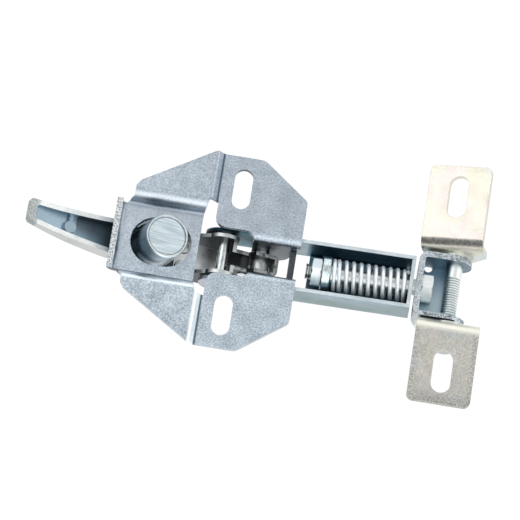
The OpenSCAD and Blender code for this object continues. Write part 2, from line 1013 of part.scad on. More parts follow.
// One tab, on the upper side, with its swivel hole on the Y axis
module tab() {
  half = tab_w / 2;
  under = tab_rise - tab_t;
  bend_z = tab_rise - tab_bend_out;
  difference() {
    union() {
      up(under, tab_rise)
        difference() {
          union() {
            box2(-half, half, tab_flat_y - eps, tab_reach - tab_corner);
            round2(-half, half, tab_reach - 3 * tab_corner, tab_reach, tab_corner);
          }
          translate([0, tab_reach - tab_slot_in])
            slot2(tab_slot_l, tab_slot_w);
        }
      along_x(-half, half)
        bend2(tab_flat_y, bend_z, tab_bend_in, tab_bend_out, -1, 1);
      along_y(flange_in, flange_out) {
        polygon([
          [-half, bend_z + eps], [half, bend_z + eps], [half, 1],
          [6, -7.5], [-6, -7.5], [-half, 1]
        ]);
        disc2(0, 0, flange_r);
      }
    }
    pin_y(0, 0, m8_r + run, flange_in - 1, flange_out + 1);
  }
}

module upper_tab() {
  color(warm_zinc)
    at_tab(upper_tab_turn)
      tab();
}

module lower_tab() {
  color(warm_zinc)
    at_tab(0)
      mirror([0, 1, 0])
        tab();
}

mounting_plate();
main_pivot_pin();
crank_lever();
pivot_bush();
pivot_spacer_upper();
pivot_spacer_lower();
stop_rivet();
stop_sleeve();
toggle_pin();
toggle_clip();
toggle_washer_upper();
toggle_washer_lower();
handle_grip();
handle_rivet_upper();
handle_rivet_lower();
lock_barrel();
lock_ring();
lock_cap();
lock_plug();
spring_channel();
pull_bolt();
adjusting_nut();
spring_seat();
compression_spring();
yoke();
swivel_bolt();
swivel_nut();
head_washer();
nut_washer();
spacer_washer_upper();
spacer_washer_lower();
upper_tab();
lower_tab();
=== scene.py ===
import json
import math

import bpy
from mathutils import Matrix, Vector


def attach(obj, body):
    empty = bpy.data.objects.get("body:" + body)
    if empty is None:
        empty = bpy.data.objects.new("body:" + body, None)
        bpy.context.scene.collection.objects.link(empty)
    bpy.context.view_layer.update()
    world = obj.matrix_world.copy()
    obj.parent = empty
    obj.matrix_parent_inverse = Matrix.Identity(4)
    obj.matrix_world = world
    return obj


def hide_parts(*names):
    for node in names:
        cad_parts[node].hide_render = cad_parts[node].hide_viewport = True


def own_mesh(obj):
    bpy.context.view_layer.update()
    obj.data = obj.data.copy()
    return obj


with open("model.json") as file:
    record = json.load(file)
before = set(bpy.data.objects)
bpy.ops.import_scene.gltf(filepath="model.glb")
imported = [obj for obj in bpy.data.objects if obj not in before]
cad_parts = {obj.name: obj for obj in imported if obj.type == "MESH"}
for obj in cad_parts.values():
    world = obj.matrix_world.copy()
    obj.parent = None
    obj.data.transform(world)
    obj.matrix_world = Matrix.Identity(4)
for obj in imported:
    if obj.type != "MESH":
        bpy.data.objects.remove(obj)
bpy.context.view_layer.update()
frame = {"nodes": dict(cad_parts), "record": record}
nodes = frame["nodes"]
scene = bpy.context.scene
scene.view_settings.view_transform = "Standard"


# Joints and directions, from the record

MM = 0.001
X = Vector((1, 0, 0))
Y = Vector((0, 1, 0))
Z = Vector((0, 0, 1))
JOINTS = {joint["name"]: joint for joint in frame["record"]["behaviour"]["joints"]}
PIVOT = Vector(JOINTS["lever_swing"]["pos_m"])
BARREL = Vector(JOINTS["lock_turn"]["pos_m"])
TOGGLE = Vector(JOINTS["toggle_pivot"]["pos_m"])
SWIVEL = Vector(JOINTS["lower_tab_swivel"]["pos_m"])
LEVER_UP = Vector(JOINTS["lock_turn"]["axis"]).normalized()
LEVER_ALONG = Y.cross(LEVER_UP)
CHANNEL_ALONG = Vector(JOINTS["rod_slide"]["axis"]).normalized()
CHANNEL_UP = CHANNEL_ALONG.cross(Y)

# Places of the pivot and the toggle pin in the lever's and the channel's directions, in millimetres
PIVOT_ALONG = PIVOT.dot(LEVER_ALONG) / MM
PIVOT_UP = PIVOT.dot(LEVER_UP) / MM
TOGGLE_UP = TOGGLE.dot(CHANNEL_UP) / MM

# The upper tab's turn on the swivel bolt at rest
TAB_TURN = math.radians(17)
TAB_ACROSS = Vector((math.cos(TAB_TURN), 0, math.sin(TAB_TURN)))


# Camera at the photograph's angle, through a long lens

PHOTO_PIXELS = 520
PIXELS_PER_MM = 2.045
ORIGIN_PIXEL = (232.4, 251.4)
TILT = math.radians(18.6)
SWING = math.radians(0.4)
ROLL = math.radians(9.3)
DISTANCE = 1.6
SENSOR_WIDTH = 36
NEAR_CLIP = 0.05
FAR_CLIP = 100


def make_camera():
    across = Vector((
        math.cos(SWING),
        -math.sin(SWING) * math.sin(TILT),
        math.sin(SWING) * math.cos(TILT),
    ))
    upward = Vector((0, math.cos(TILT), math.sin(TILT)))
    back = across.cross(upward)
    right = across * math.cos(ROLL) + upward * math.sin(ROLL)
    up = upward * math.cos(ROLL) - across * math.sin(ROLL)
    middle = PHOTO_PIXELS / 2
    aim = right * (middle - ORIGIN_PIXEL[0]) - up * (middle - ORIGIN_PIXEL[1])
    aim *= MM / PIXELS_PER_MM
    data = bpy.data.cameras.new("camera")
    data.sensor_width = SENSOR_WIDTH
    data.lens = SENSOR_WIDTH * DISTANCE / (PHOTO_PIXELS / PIXELS_PER_MM * MM)
    data.clip_start = NEAR_CLIP
    data.clip_end = FAR_CLIP
    camera = bpy.data.objects.new("camera", data)
    turned = Matrix((right, up, back)).transposed().to_4x4()
    camera.matrix_world = Matrix.Translation(aim + back * DISTANCE) @ turned
    scene.collection.objects.link(camera)
    scene.camera = camera


# Node trees

# Radius of the rounding that lets a sharp edge catch the light, in millimetres
EDGE_RADIUS = 0.35
EDGE_SAMPLES = 4

# A noise's shift along X, Y and Z, as shares of the shift it is given
SHIFT_SHARES = (1, 0.7, 1.3)

# The middle range of a noise that is spread over a colour or a roughness
COLOUR_RANGE = (0.35, 0.65)
ROUGH_RANGE = (0.3, 0.7)

# The mix node's colour sockets, which share their names with its other kinds
MIX_FIRST = 6
MIX_SECOND = 7
MIX_RESULT = 2


class Net:
    """A material's node tree, built from small calls that return sockets."""

    def __init__(self, name):
        self.mat = bpy.data.materials.new(name)
        self.mat.use_nodes = True
        self.tree = self.mat.node_tree
        self.shader = self.tree.nodes["Principled BSDF"]
        coords = self.add("ShaderNodeTexCoord")
        self.place = coords.outputs["Object"]
        self.normal = coords.outputs["Normal"]

    def add(self, kind, **settings):
        made = self.tree.nodes.new(kind)
        for key, value in settings.items():
            setattr(made, key, value)
        return made

    def put(self, socket, value):
        """Links a socket to the input, or sets the input's own value."""
        if isinstance(value, bpy.types.NodeSocket):
            self.tree.links.new(value, socket)
        elif socket.type == "RGBA":
            socket.default_value = (*value[:3], 1)
        else:
            socket.default_value = value

    def calculate(self, operation, a, b=0.0, clamp=False):
        made = self.add("ShaderNodeMath", operation=operation, use_clamp=clamp)
        self.put(made.inputs[0], a)
        self.put(made.inputs[1], b)
        return made.outputs[0]

    def along(self, vector, direction):
        made = self.add("ShaderNodeVectorMath", operation="DOT_PRODUCT")
        self.put(made.inputs[0], vector)
        made.inputs[1].default_value = direction
        return made.outputs["Value"]

    def rise(self, value, low, high, bottom=0.0, top=1.0, smooth=True):
        """Goes from bottom to top as value goes from low to high."""
        made = self.add("ShaderNodeMapRange", interpolation_type="SMOOTHSTEP" if smooth else "LINEAR")
        self.put(made.inputs["Value"], value)
        made.inputs["From Min"].default_value = low
        made.inputs["From Max"].default_value = high
        made.inputs["To Min"].default_value = bottom
        made.inputs["To Max"].default_value = top
        return made.outputs["Result"]

    def faces(self, direction, low, high):
        """1 where the surface faces along direction, 0 where it turns away, between two cosines."""
        return self.rise(self.along(self.normal, direction), low, high)

    def beyond(self, direction, millimetres, soft=0.15):
        """1 past a plane square to direction, that many millimetres from the origin."""
        edge = millimetres * MM
        return self.rise(self.along(self.place, direction), edge - soft * MM, edge + soft * MM)

    def within(self, direction, low, high, soft=0.15):
        """1 between two planes square to direction."""
        return self.both(self.beyond(direction, low, soft), self.beyond(-direction, -high, soft))

    def both(self, *masks):
        """1 where every mask is 1."""
        made = masks[0]
        for mask in masks[1:]:
            made = self.calculate("MULTIPLY", made, mask)
        return made

    def either(self, a, b):
        return self.calculate("MAXIMUM", a, b)

    def part(self, mask, share):
        return self.calculate("MULTIPLY", mask, share)

    def opposite(self, mask):
        return self.calculate("SUBTRACT", 1.0, mask)

    def from_axis(self, point, direction):
        """Distance from an axis through point, in metres."""
        offset = self.add("ShaderNodeVectorMath", operation="SUBTRACT")
        self.put(offset.inputs[0], self.place)
        offset.inputs[1].default_value = point
        turned = self.add("ShaderNodeVectorMath", operation="CROSS_PRODUCT")
        self.put(turned.inputs[0], offset.outputs["Vector"])
        turned.inputs[1].default_value = direction
        length = self.add("ShaderNodeVectorMath", operation="LENGTH")
        self.put(length.inputs[0], turned.outputs["Vector"])
        return length.outputs["Value"]

    def noise(self, size, detail=3.0, roughness=0.55, stretch=(1, 1, 1), shift=0.0):
        """Noise with features about size millimetres across, finer along an axis with a larger stretch."""
        mapping = self.add("ShaderNodeMapping")
        self.put(mapping.inputs["Vector"], self.place)
        mapping.inputs["Scale"].default_value = stretch
        mapping.inputs["Location"].default_value = [shift * share for share in SHIFT_SHARES]
        made = self.add("ShaderNodeTexNoise")
        self.put(made.inputs["Vector"], mapping.outputs["Vector"])
        made.inputs["Scale"].default_value = 1 / (size * MM)
        made.inputs["Detail"].default_value = detail
        made.inputs["Roughness"].default_value = roughness
        return made.outputs["Fac"]

    def contrast(self, noise):
        """The middle range of a noise, spread from 0 to 1."""
        return self.rise(noise, *COLOUR_RANGE)

    def uneven(self, noise, smooth, rough):
        """A roughness that goes from smooth to rough with a noise."""
        return self.rise(noise, *ROUGH_RANGE, bottom=smooth, top=rough, smooth=False)

    def mix(self, mask, a, b):
        """Colour a where mask is 0 and colour b where it is 1."""
        made = self.add("ShaderNodeMix", data_type="RGBA")
        self.put(made.inputs["Factor"], mask)
        self.put(made.inputs[MIX_FIRST], a)
        self.put(made.inputs[MIX_SECOND], b)
        return made.outputs[MIX_RESULT]

    def tint(self, colour, mask, tone, share):
        """The colour, turned towards tone by that share where mask is 1."""
        return self.mix(self.part(mask, share), colour, tone)

    def ramp(self, value, *stops):
        """Colours along value. Each stop is a position and a colour, the two outer stops first."""
        made = self.add("ShaderNodeValToRGB")
        self.put(made.inputs[0], value)
        elements = made.color_ramp.elements
        for index, (position, colour) in enumerate(stops):
            element = elements[index] if index < 2 else elements.new(position)
            element.position = position
            element.color = (*colour, 1)
        return made.outputs["Color"]

    def bump(self, height, depth, strength, edge=EDGE_RADIUS):
        """Relief that is depth millimetres deep, over edges rounded by a small radius."""
        made = self.add("ShaderNodeBump")
        made.inputs["Distance"].default_value = depth * MM
        made.inputs["Strength"].default_value = strength
        self.put(made.inputs["Height"], height)
        if edge:
            rounded = self.add("ShaderNodeBevel", samples=EDGE_SAMPLES)
            rounded.inputs["Radius"].default_value = edge * MM
            self.put(made.inputs["Normal"], rounded.outputs["Normal"])
        return made.outputs["Normal"]

    def finish(self, colour, roughness, normal, metallic=1.0):
        self.put(self.shader.inputs["Base Color"], colour)
        self.put(self.shader.inputs["Roughness"], roughness)
        self.put(self.shader.inputs["Normal"], normal)
        self.shader.inputs["Metallic"].default_value = metallic
        return self.mat


def plated(net, light, dark, grain=0.8, cloud=9.0, speck=0.75, edge=EDGE_RADIUS):
    """Colour, roughness and relief of zinc plate: faint clouds under a fine salt and pepper grain."""
    clouds = net.rise(net.noise(cloud, detail=4, roughness=0.6), 0.3, 0.7)
    fine = net.noise(grain, detail=2, roughness=0.7, shift=0.4)
    grains = net.part(net.rise(fine, 0.32, 0.68), speck)
    blend = net.calculate("ADD", net.part(clouds, 1 - speck), grains, clamp=True)
    colour = net.mix(blend, dark, light)
    uneven = net.calculate("ADD", fine, net.part(clouds, 0.4))
    roughness = net.rise(uneven, 0.4, 1.0, bottom=0.30, top=0.44, smooth=False)
    return colour, roughness, net.bump(fine, depth=0.03, strength=0.3, edge=edge)


def specked(net, colour, amount, dark=(0.16, 0.17, 0.18), grain=1.3):
    """Dark specks, as on a sheared edge, as thick as amount says."""
    specks = net.rise(net.noise(grain, detail=2, roughness=0.6, shift=2.3), 0.44, 0.58)
    return net.mix(net.both(specks, amount), colour, dark)


# Mounting plate: places in millimetres, the panel and the flanks towards -X

UPPER_START = 8
FLANK_START = 16
PANEL_HALF = 18.5
STEP_START = 16
STEP_CREASE = (16.4, 19)
STEP_DEPTH = 1.7
CREST_START = 19
CREST_HEIGHTS = (0.6, 3.2)
ROLL_START = 17.5
ROLL_FOOT = -1.4
GROOVE = (17.2, 19)
GROOVE_DEPTH = 1.9
SLOT_HALF = 5.6
SLOT_TOP = 36
SLOT_DEPTH = 0.3
WING_START = 22
SLOPE = (-15.2, -11.6)
FOLD = (-11.9, -10.9)
CHEEK_INSIDE = 8.15
CHEEK_DEPTH = 3.2
CHEEK_START = 5
STOP_WALL = 28
PLATE_END = 54
PLATE_END_HEIGHT = 2.4


def zinc_sheet():
    net = Net("zinc_sheet")
    colour, roughness, normal = plated(net, (0.70, 0.78, 0.84), (0.27, 0.33, 0.39))
    colour = plate_panel(net, colour)
    colour = plate_upper_step(net, colour)
    colour = plate_lower_step(net, colour)
    colour = plate_wings(net, colour)
    colour = plate_cheeks(net, colour)
    colour = plate_end(net, colour)
    return net.finish(colour, roughness, normal)


def plate_panel(net, colour):
    """The upper half and the sunk panel, darkened by painted shade."""
    upper = net.beyond(Y, UPPER_START, soft=10)
    colour = net.tint(colour, upper, (0.30, 0.33, 0.38), share=0.32)
    panel = net.both(
        net.within(Y, -PANEL_HALF, PANEL_HALF, soft=0.8),
        net.beyond(-X, FLANK_START, soft=0.5),
    )
    return net.tint(colour, panel, (0.42, 0.46, 0.53), share=0.35)


def plate_upper_step(net, colour):
    """Painted shade on the step from the panel to the upper flank, and a painted highlight on the flank's
    crest.
    """
    flank = net.beyond(-X, FLANK_START, soft=0.5)
    steep = net.both(net.faces(-Y, 0.62, 0.80), net.beyond(Y, STEP_START))
    crease = net.both(net.beyond(-Z, STEP_DEPTH, soft=0.3), net.within(Y, *STEP_CREASE, soft=0.6))
    step = net.both(flank, net.either(steep, crease))
    crest = net.both(
        flank,
        net.beyond(Y, CREST_START),
        net.within(Z, *CREST_HEIGHTS, soft=0.3),
        net.opposite(steep),
    )
    # Painted highlight on the crest, then painted shade on the step
    colour = net.tint(colour, crest, (0.90, 0.94, 0.97), share=0.35)
    return net.tint(colour, step, (0.21, 0.25, 0.30), share=0.42)


def plate_lower_step(net, colour):
    """A painted highlight on the roll at the lower flank, and painted shade in the groove at its foot."""
    flank = net.beyond(-X, FLANK_START, soft=0.5)
    roll = net.both(
        flank,
        net.faces(Y, 0.10, 0.35),
        net.beyond(-Y, ROLL_START),
        net.beyond(Z, ROLL_FOOT, soft=0.3),
    )
    # Painted highlight on the roll
    colour = net.tint(colour, roll, (0.84, 0.90, 0.95), share=0.8)
    groove = net.both(
        flank,
        net.within(-Y, *GROOVE, soft=0.3),
        net.beyond(-Z, GROOVE_DEPTH, soft=0.3),
    )
    # Painted shade in the groove
    return net.tint(colour, groove, (0.06, 0.09, 0.13), share=0.8)


def plate_wings(net, colour):
    """Painted shade at the end of the upper slot, a painted highlight on the lower wing's slope, and
    painted shade in the folds beside the slopes.
    """
    slot = net.both(
        net.within(X, -SLOT_HALF, SLOT_HALF),
        net.beyond(Y, SLOT_TOP),
        net.faces(-Y, 0.3, 0.7),
        net.beyond(-Z, SLOT_DEPTH),
    )
    # Painted shade at the upper slot's end
    colour = net.tint(colour, slot, (0.04, 0.05, 0.055), share=0.85)
    upper = net.beyond(Y, WING_START, soft=0.5)
    lower = net.beyond(-Y, WING_START, soft=0.5)
    slope = net.both(lower, net.within(X, *SLOPE, soft=0.5))
    # Painted highlight on the lower wing's slope
    colour = net.mix(slope, colour, (0.93, 0.99, 1.0))
    fold = net.both(net.either(upper, lower), net.within(X, *FOLD, soft=0.4))
    # Painted shade in the folds
    return net.tint(colour, fold, (0.03, 0.06, 0.10), share=0.95)


def plate_cheeks(net, colour):
    """The shade between the cheeks, darkest at the stop wall."""
    between = net.both(
        net.within(Y, -CHEEK_INSIDE, CHEEK_INSIDE, soft=0.05),
        net.beyond(-Z, CHEEK_DEPTH, soft=0.8),
        net.beyond(X, CHEEK_START),
    )
    at_wall = net.beyond(X, STOP_WALL, soft=0.3)
    shade = net.mix(at_wall, (0.10, 0.115, 0.13), (0.028, 0.036, 0.042))
    return net.tint(colour, between, shade, share=0.9)


def plate_end(net, colour):
    """The sheared upper edge at the plate's far end."""
    edge = net.both(net.beyond(Z, PLATE_END_HEIGHT, soft=0.1), net.beyond(-X, PLATE_END, soft=0.3))
    colour = net.tint(colour, edge, (0.74, 0.77, 0.78), share=0.8)
    return specked(net, colour, net.part(edge, 0.7), dark=(0.16, 0.165, 0.17), grain=0.9)


# Yoke: places in millimetres, heights from the toggle pin

YOKE_INSIDE = 14.1
YOKE_INSIDE_TOP = 7.6
YOKE_INSIDE_START = 93.4
YOKE_SHADE = 4
YOKE_BACK = 94
YOKE_ARM = 95
YOKE_LOWER_EDGE = (14.3, 16.0)
YOKE_UPPER_EDGE = 13.5
YOKE_RIM = 6.8
YOKE_OUTSIDE = 16.2


def yoke_zinc():
    net = Net("yoke_zinc")
    colour, roughness, normal = plated(net, (0.76, 0.82, 0.85), (0.32, 0.38, 0.42))
    deep = net.opposite(net.beyond(CHANNEL_UP, TOGGLE_UP + YOKE_INSIDE_TOP, soft=0.3))
    inside = net.both(
        deep,
        net.within(Y, -YOKE_INSIDE, YOKE_INSIDE, soft=0.05),
        net.beyond(X, YOKE_INSIDE_START, soft=0.1),
    )
    # Painted shade inside the yoke: pale at the lower arm, dark and bluish towards the upper arm
    yoke_inside_shade = net.mix(net.beyond(Y, YOKE_SHADE, soft=9), (0.46, 0.59, 0.66), (0.11, 0.21, 0.29))
    colour = net.tint(colour, inside, yoke_inside_shade, share=0.85)
    back = net.opposite(net.beyond(X, YOKE_BACK, soft=0.5))
    colour = specked(net, colour, net.part(back, 0.4), grain=0.9)
    arm = net.beyond(X, YOKE_ARM, soft=1)
    lower = net.part(net.within(-Y, *YOKE_LOWER_EDGE, soft=0.2), 0.75)
    colour = specked(net, colour, net.both(arm, lower), dark=(0.05, 0.055, 0.06), grain=1.0)
    upper = net.part(net.beyond(Y, YOKE_UPPER_EDGE), 0.6)
    colour = specked(net, colour, net.both(arm, upper), dark=(0.12, 0.13, 0.14))
    # Painted shadow: a near black line on the lower arm's outer rim, beside the lower tab
    rim = net.beyond(CHANNEL_UP, TOGGLE_UP + YOKE_RIM, soft=0.4)
    outside = net.beyond(-Y, YOKE_OUTSIDE, soft=0.15)
    colour = net.mix(net.both(arm, rim, outside), colour, (0.012, 0.014, 0.016))
    return net.finish(colour, roughness, normal)


# Spring channel: places in millimetres, heights from the toggle pin

CHANNEL_INSIDE = (-11.5, 11.75)
CHANNEL_INSIDE_TOP = 7.5
CHANNEL_INSIDE_START = 36.8
CHANNEL_UPPER_WALL = 10.5
EAR_END = 16
EAR_SHADE = 2
UPPER_EAR = (0, 13.2)
LOWER_EAR_END = -4
LOWER_EAR_HEIGHT = -7


def channel_zinc():
    net = Net("channel_zinc")
    colour, roughness, normal = plated(net, (0.70, 0.77, 0.80), (0.50, 0.58, 0.62), speck=0.5)
    # Painted shade: the channel's side faces turned to a darker, drifting bluish green
    upright_shade = net.opposite(net.faces(CHANNEL_UP, 0.35, 0.75))
    drift = net.noise(15, detail=3, roughness=0.55, stretch=(0.6, 1, 1), shift=1.1)
    upright_shade_tone = net.ramp(
        drift,
        (0.32, (0.18, 0.26, 0.26)),
        (0.68, (0.29, 0.40, 0.48)),
        (0.5, (0.24, 0.325, 0.34)),
    )
    colour = net.tint(colour, upright_shade, upright_shade_tone, share=0.9)
    colour = channel_inside(net, colour)
    colour = channel_ears(net, colour)
    return net.finish(colour, roughness, normal)


def channel_inside(net, colour):
    """Painted shade in dark bluish tones inside the tray, deeper along its upper wall."""
    deep = net.opposite(net.beyond(CHANNEL_UP, TOGGLE_UP + CHANNEL_INSIDE_TOP, soft=0.2))
    inside = net.both(
        net.within(Y, *CHANNEL_INSIDE, soft=0.05),
        deep,
        net.beyond(X, CHANNEL_INSIDE_START, soft=1.0),
    )
    wall = net.beyond(Y, CHANNEL_UPPER_WALL, soft=0.8)
    tray_inside_shade = net.mix(wall, (0.13, 0.22, 0.27), (0.075, 0.16, 0.23))
    return net.mix(inside, colour, tray_inside_shade)


def channel_ears(net, colour):
    """The two ears at the toggle pin, in the shade of the crank."""
    tone = net.mix(net.beyond(X, EAR_SHADE, soft=1.2), (0.012, 0.03, 0.04), (0.17, 0.34, 0.39))
    upper = net.both(net.beyond(-X, -EAR_END, soft=4), net.within(Y, *UPPER_EAR, soft=0.1))
    colour = net.mix(upper, colour, tone)
    tone = net.mix(net.beyond(Z, LOWER_EAR_HEIGHT, soft=1.5), (0.46, 0.48, 0.54), (0.05, 0.09, 0.12))
    lower = net.both(net.beyond(-X, -LOWER_EAR_END, soft=7), net.beyond(-Y, 0))
    return net.mix(lower, colour, tone)


# Tabs: places in millimetres, outwards from the middle of the lock

TAB_SIDE = (11, 16)
TAB_END = 58
TAB_DULL_END = 55
UPPER_TAB_BEND = (20.2, 23.2)
LOWER_TAB_BEND = 24.4
TAB_SPECK = (0.20, 0.20, 0.195)


def tab_plate(net, across, outward, film_share):
    """Pale yellow passivated plate, and a mask that rises towards the sheared edges."""
    side = net.calculate("SUBTRACT", net.along(net.place, across), SWIVEL.dot(across))
    side = net.rise(net.calculate("ABSOLUTE", side), TAB_SIDE[0] * MM, TAB_SIDE[1] * MM)
    sheared = net.either(side, net.beyond(outward, TAB_END, soft=3.5))
    colour, roughness, normal = plated(net, (0.66, 0.645, 0.60), (0.44, 0.44, 0.425), grain=1.3, cloud=12)
    film = net.ramp(
        net.noise(16, detail=2, roughness=0.5, shift=1.7),
        (0.36, (0.70, 0.76, 0.76)),
        (0.64, (0.78, 0.71, 0.66)),
        (0.5, (0.77, 0.74, 0.60)),
    )
    return net.mix(film_share, colour, film), roughness, normal, sheared


def upper_tab_zinc():
    """The bright tab, with painted shade and dark specks on its bend."""
    net = Net("upper_tab_zinc")
    colour, roughness, normal, sheared = tab_plate(net, TAB_ACROSS, Y, film_share=0.8)
    bend = net.both(
        net.within(Y, *UPPER_TAB_BEND, soft=0.6),
        net.faces(TAB_ACROSS.cross(Y), 0.2, 0.6),
    )
    # Painted shade on the bend
    colour = net.tint(colour, bend, (0.16, 0.155, 0.15), share=0.7)
    amount = net.either(net.part(sheared, 0.15), net.part(bend, 0.95))
    colour = specked(net, colour, amount, dark=TAB_SPECK)
    return net.finish(colour, roughness, normal)


def lower_tab_zinc():
    """The speckled tab, duller towards its end, with a painted highlight on its bend, where no specks
    fall.
    """
    net = Net("lower_tab_zinc")
    colour, roughness, normal, sheared = tab_plate(net, X, -Y, film_share=0.35)
    end = net.beyond(-Y, TAB_DULL_END, soft=7)
    colour = net.tint(colour, end, (0.36, 0.37, 0.37), share=0.35)
    # Painted highlight on the bend
    bend = net.opposite(net.beyond(-Y, LOWER_TAB_BEND, soft=1.2))
    colour = net.tint(colour, bend, (0.80, 0.78, 0.70), share=0.9)
    amount = net.calculate("ADD", net.part(sheared, 0.45), 0.22)
    amount = net.both(amount, net.opposite(bend))
    colour = specked(net, colour, amount, dark=TAB_SPECK, grain=0.9)
    return net.finish(colour, roughness, normal)


# Bolts, pins and the lock, with radii in millimetres

THREAD_TOP = 3.85
THREAD_ROOT = 3.5

# Where the ring on the cap starts, is full, starts to fade and ends
CAP_RING = (9.0, 9.3, 9.5, 9.8)


def bolt_zinc(name, dark, light, upper=None, flank=None, axis=None):
    """Plated hardware with painted shade: its upper half turned towards upper, its -X side towards flank,
    and the roots of its threads dark.
    """
    net = Net(name)
    colour, roughness, normal = plated(net, light, dark, cloud=5, speck=0.5, edge=0)
    if axis:
        # Painted shade in the roots of the threads
        thread_root_shade = net.rise(net.from_axis(*axis), THREAD_TOP * MM, THREAD_ROOT * MM)
        colour = net.tint(colour, thread_root_shade, (0.24, 0.28, 0.29), share=0.6)
    # Painted shade on the upper half
    if upper:
        colour = net.tint(colour, net.beyond(Y, 0, soft=1), upper, share=0.8)
    # Painted shade on the -X side
    if flank:
        colour = net.tint(colour, net.faces(-X, 0.15, 0.75), flank, share=0.9)
    return net.finish(colour, roughness, normal)


def bright_steel(name, dark, light, smooth=0.14, rough=0.28, metallic=1.0):
    """Drawn steel, its roughness between smooth and rough."""
    net = Net(name)
    lines = net.noise(1.0, detail=3, roughness=0.6, stretch=(1.2, 0.4, 1.2))
    colour = net.mix(net.contrast(lines), dark, light)
    roughness = net.uneven(lines, smooth=smooth, rough=rough)
    relief = net.bump(net.noise(0.4, detail=2), depth=0.01, strength=0.2)
    return net.finish(colour, roughness, relief, metallic)


# Painted shade: a dark copy of steel for the lock ring, which lies deep inside the lock
def ring_shade_steel():
    net = Net("ring_shade_steel")
    stain = net.noise(2.5, detail=4, roughness=0.6)
    colour = net.mix(net.contrast(stain), (0.03, 0.05, 0.065), (0.09, 0.12, 0.14))
    roughness = net.uneven(stain, smooth=0.3, rough=0.45)
    return net.finish(colour, roughness, net.bump(net.noise(0.5), depth=0.02, strength=0.3))


def lock_metal(name, dark, light, shaded=None):
    """Brushed steel, with painted shade on the side away from the pivot, or else with the cap's thin dark
    ring.
    """
    net = Net(name)
    brushed = net.noise(1.0, detail=4, roughness=0.7, stretch=(0.06, 2.6, 0.06))
    wide = net.noise(6, detail=2, roughness=0.5, stretch=(0.3, 1.5, 0.3), shift=0.9)
    blend = net.calculate("ADD", net.part(brushed, 0.6), net.part(wide, 0.4))
    colour = net.mix(net.contrast(blend), dark, light)
    if shaded:
        # Painted shade on the side away from the pivot
        colour = net.tint(colour, net.faces(-LEVER_ALONG, -0.1, 0.7), shaded, share=0.9)
    else:
        start, full, fade, end = [radius * MM for radius in CAP_RING]
        reach = net.from_axis(BARREL, LEVER_UP)
        ring = net.both(net.rise(reach, start, full), net.rise(reach, end, fade))
        colour = net.tint(colour, ring, (0.18, 0.22, 0.24), share=0.75)
    roughness = net.uneven(brushed, smooth=0.24, rough=0.4)
    return net.finish(colour, roughness, net.bump(brushed, depth=0.03, strength=0.4))


# Grip: places along the lever from its pivot, and half widths of its hollows, in millimetres

TIP_START = -114.5
HOLLOW_TIP = -115.5
HOLLOW_MIDDLE = -74.8
HOLLOW_ROOT = -31.8
OUTER_FROM = -115.6
INNER_FROM = -74
TIP_HALF = 3.6
MIDDLE_HALF = 6.7
ROOT_HALF = 10.6
HOLLOW_SOFT = 0.1
PALE_END = -92.6
DEEP_START = -78
UPPER_SHADE = -1.5


def cast_alloy():
    net = Net("cast_alloy")
    sand = net.noise(0.9, detail=3, roughness=0.65)
    clouds = net.noise(14, detail=3, roughness=0.5, shift=2.0)
    colour = net.mix(net.contrast(clouds), (0.62, 0.65, 0.65), (0.76, 0.78, 0.77))
    colour = net.tint(colour, net.rise(sand, 0.52, 0.7), (0.40, 0.42, 0.42), share=0.35)
    # Painted shade on the grip's side faces
    side_shade = net.either(net.faces(Y, 0.6, 0.9), net.faces(-Y, 0.6, 0.9))
    colour = net.tint(colour, side_shade, (0.46, 0.47, 0.46), share=0.5)
    tip = net.opposite(net.beyond(LEVER_ALONG, PIVOT_ALONG + TIP_START, soft=1.0))
    colour = net.tint(colour, tip, (0.36, 0.38, 0.38), share=0.75)
    colour = specked(net, colour, net.part(tip, 0.6), grain=0.8)
    # Painted shade inside the grip's hollows
    colour = net.tint(colour, grip_hollow(net), hollow_shade(net), share=0.92)
    roughness = net.uneven(sand, smooth=0.34, rough=0.5)
    return net.finish(colour, roughness, net.bump(sand, depth=0.03, strength=0.5))


def grip_hollow(net):
    """1 inside the grip's two tapering hollows, not on the faces that look outwards."""
    place = net.along(net.place, LEVER_ALONG)
    width = net.calculate("ABSOLUTE", net.along(net.place, Y))

    def taper(start, end, start_half, end_half):
        low = (PIVOT_ALONG + start) * MM
        high = (PIVOT_ALONG + end) * MM
        half = net.rise(place, low, high, bottom=start_half * MM, top=end_half * MM, smooth=False)
        return net.rise(net.calculate("SUBTRACT", half, width), 0.0, HOLLOW_SOFT * MM)

    outer = net.both(
        taper(HOLLOW_TIP, HOLLOW_MIDDLE, TIP_HALF, MIDDLE_HALF),
        net.beyond(LEVER_ALONG, PIVOT_ALONG + OUTER_FROM, soft=0.05),
    )
    inner = net.both(
        taper(HOLLOW_MIDDLE, HOLLOW_ROOT, MIDDLE_HALF, ROOT_HALF),
        net.beyond(LEVER_ALONG, PIVOT_ALONG + INNER_FROM, soft=1),
    )
    return net.both(net.either(outer, inner), net.opposite(net.faces(-LEVER_UP, 0.1, 0.4)))


def hollow_shade(net):
    """Painted shade inside the grip, in bluish greys: pale at the tip, then dark towards the upper wall.
    """
    dark = net.mix(net.beyond(Y, UPPER_SHADE, soft=4), (0.26, 0.38, 0.46), (0.06, 0.10, 0.13))
    deep = net.beyond(LEVER_ALONG, PIVOT_ALONG + DEEP_START, soft=5)
    dark = net.mix(deep, dark, (0.11, 0.17, 0.21))
    past_tip = net.beyond(LEVER_ALONG, PIVOT_ALONG + PALE_END, soft=0.8)
    return net.mix(past_tip, (0.32, 0.43, 0.51), dark)


# Crank: places along and up the lever from its pivot, in millimetres

CRANK_FLOOR = -11
CRANK_END = 3
CRANK_TOP = -1
CRANK_EAR = -14


